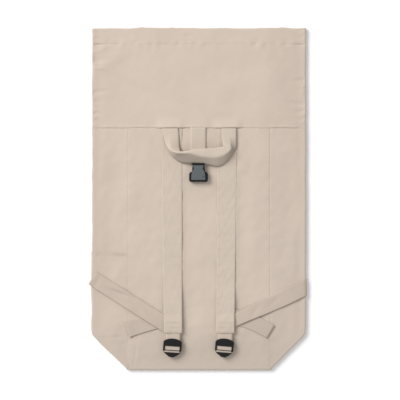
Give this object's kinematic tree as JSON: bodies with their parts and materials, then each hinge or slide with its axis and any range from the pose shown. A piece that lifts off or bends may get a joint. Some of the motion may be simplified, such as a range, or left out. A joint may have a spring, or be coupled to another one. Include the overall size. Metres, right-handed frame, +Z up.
{
  "type": "rolltop backpack",
  "caption": "Cream canvas rolltop backpack lying flat and empty, harness side up, with shoulder straps, adjusters, haul loop and closure strap.",
  "frame": {"origin": "on the floor under the middle of the bag's outline", "axes": "+Z up from the floor to the harness side, +Y from the bag's bottom to its mouth, +X to the right seen from above"},
  "size_m": [0.4375, 0.684, 0.0409],
  "materials": {
    "canvas": "cream cotton canvas, plain weave, matt",
    "canvas_strap": "folded and stitched strips of the same canvas",
    "tape": "flat woven cotton tape, matt",
    "black_plastic": "moulded black acetal, glossy"
  },
  "bodies": {
    "root": {"collar": "canvas", "back_panel": "canvas", "front_panel": "canvas", "bottom_panel": "canvas", "gusset_left": "canvas", "gusset_right": "canvas", "pocket_left": "canvas", "shoulder_strap_left": "canvas_strap", "shoulder_strap_right": "canvas_strap", "handle": "canvas_strap", "closure_strap": "canvas_strap", "strap_loop_left": "tape", "strap_loop_right": "tape", "webbing_left": "tape", "webbing_right": "tape", "ladder_lock_left": "black_plastic", "ladder_lock_right": "black_plastic", "buckle_socket": "black_plastic"}
  },
  "joints": []
}
